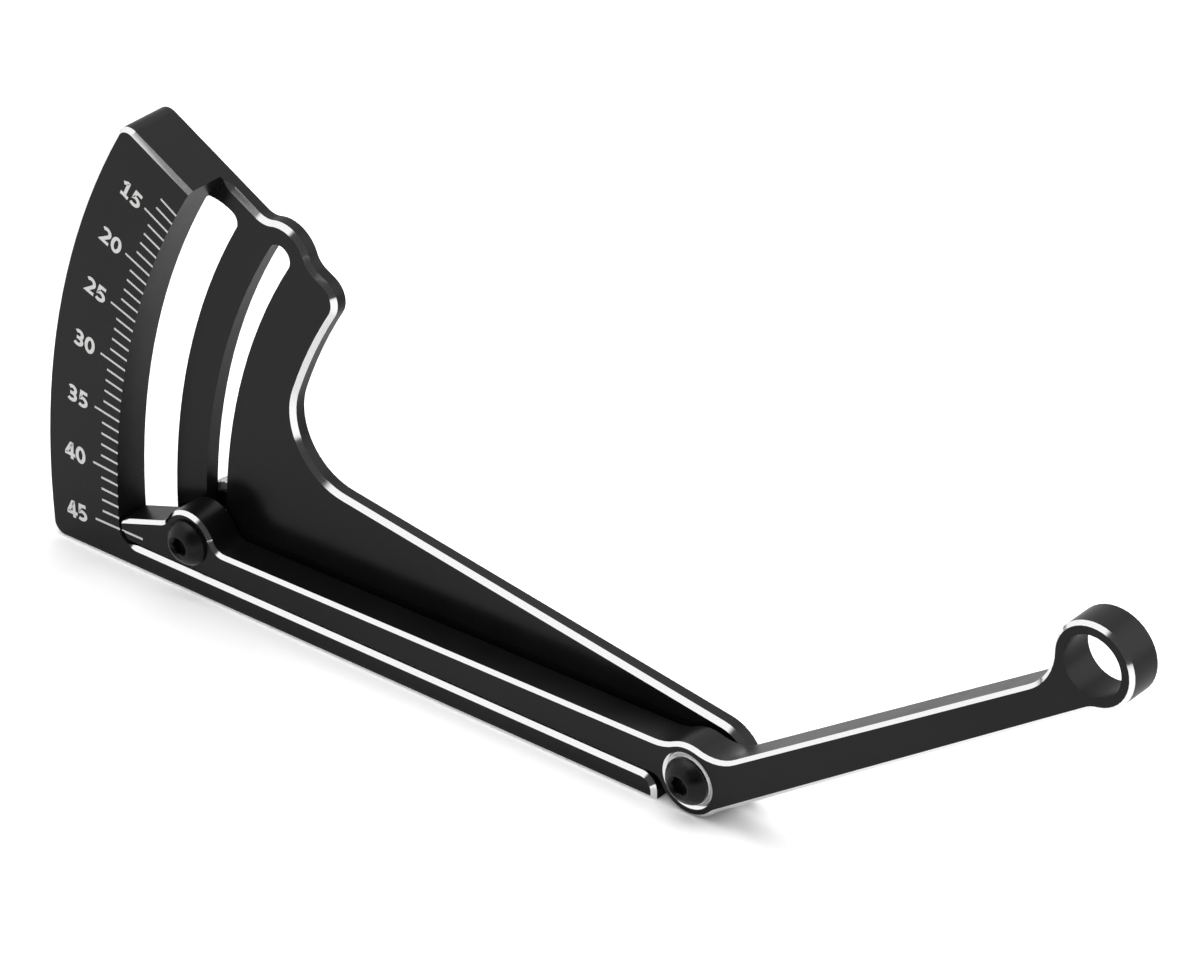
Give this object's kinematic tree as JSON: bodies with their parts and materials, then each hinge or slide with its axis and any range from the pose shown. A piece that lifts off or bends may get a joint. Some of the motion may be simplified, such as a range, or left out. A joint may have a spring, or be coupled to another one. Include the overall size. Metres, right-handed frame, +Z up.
{
  "type": "ride height gauge",
  "caption": "Ride height gauge for small model cars: a cranked lever with a ring end turns on a milled frame and its pointer reads the height on a graduated arc.",
  "frame": {"origin": "middle of the frame's foot face, half way along the rail and half way through the plate", "axes": "+X along the foot from the graduated arc to the ring, +Y through the plate from the graduated front to the back, +Z up from the table"},
  "size_m": [0.1559, 0.0121, 0.0592],
  "materials": {
    "black_anodised": "satin black anodised, front edges cut bright",
    "black_steel": "black oxide",
    "bare_aluminium": "bare, knurled",
    "bearing_steel": "ground and polished"
  },
  "bodies": {
    "frame": {"frame": "black_anodised", "pivot_screw": "black_steel", "rear_spacer": "bearing_steel", "middle_shim": "bearing_steel", "front_inner_ring": "bearing_steel", "rear_inner_ring": "bearing_steel"},
    "lever": {"lever": "black_anodised", "guide_screw": "black_steel", "washer": "black_steel", "thumb_nut": "bare_aluminium", "front_outer_ring": "bearing_steel", "front_balls": "bearing_steel", "front_cage": "bearing_steel", "front_shields": "bearing_steel", "rear_outer_ring": "bearing_steel", "rear_balls": "bearing_steel", "rear_cage": "bearing_steel", "rear_shields": "bearing_steel"}
  },
  "joints": [
    {"name": "lever_turn", "type": "hinge", "parent": "frame", "child": "lever", "pos_m": [0.05028, 0, 0.00465], "axis": [0, 1, 0], "range_deg": [0, 32]}
  ]
}
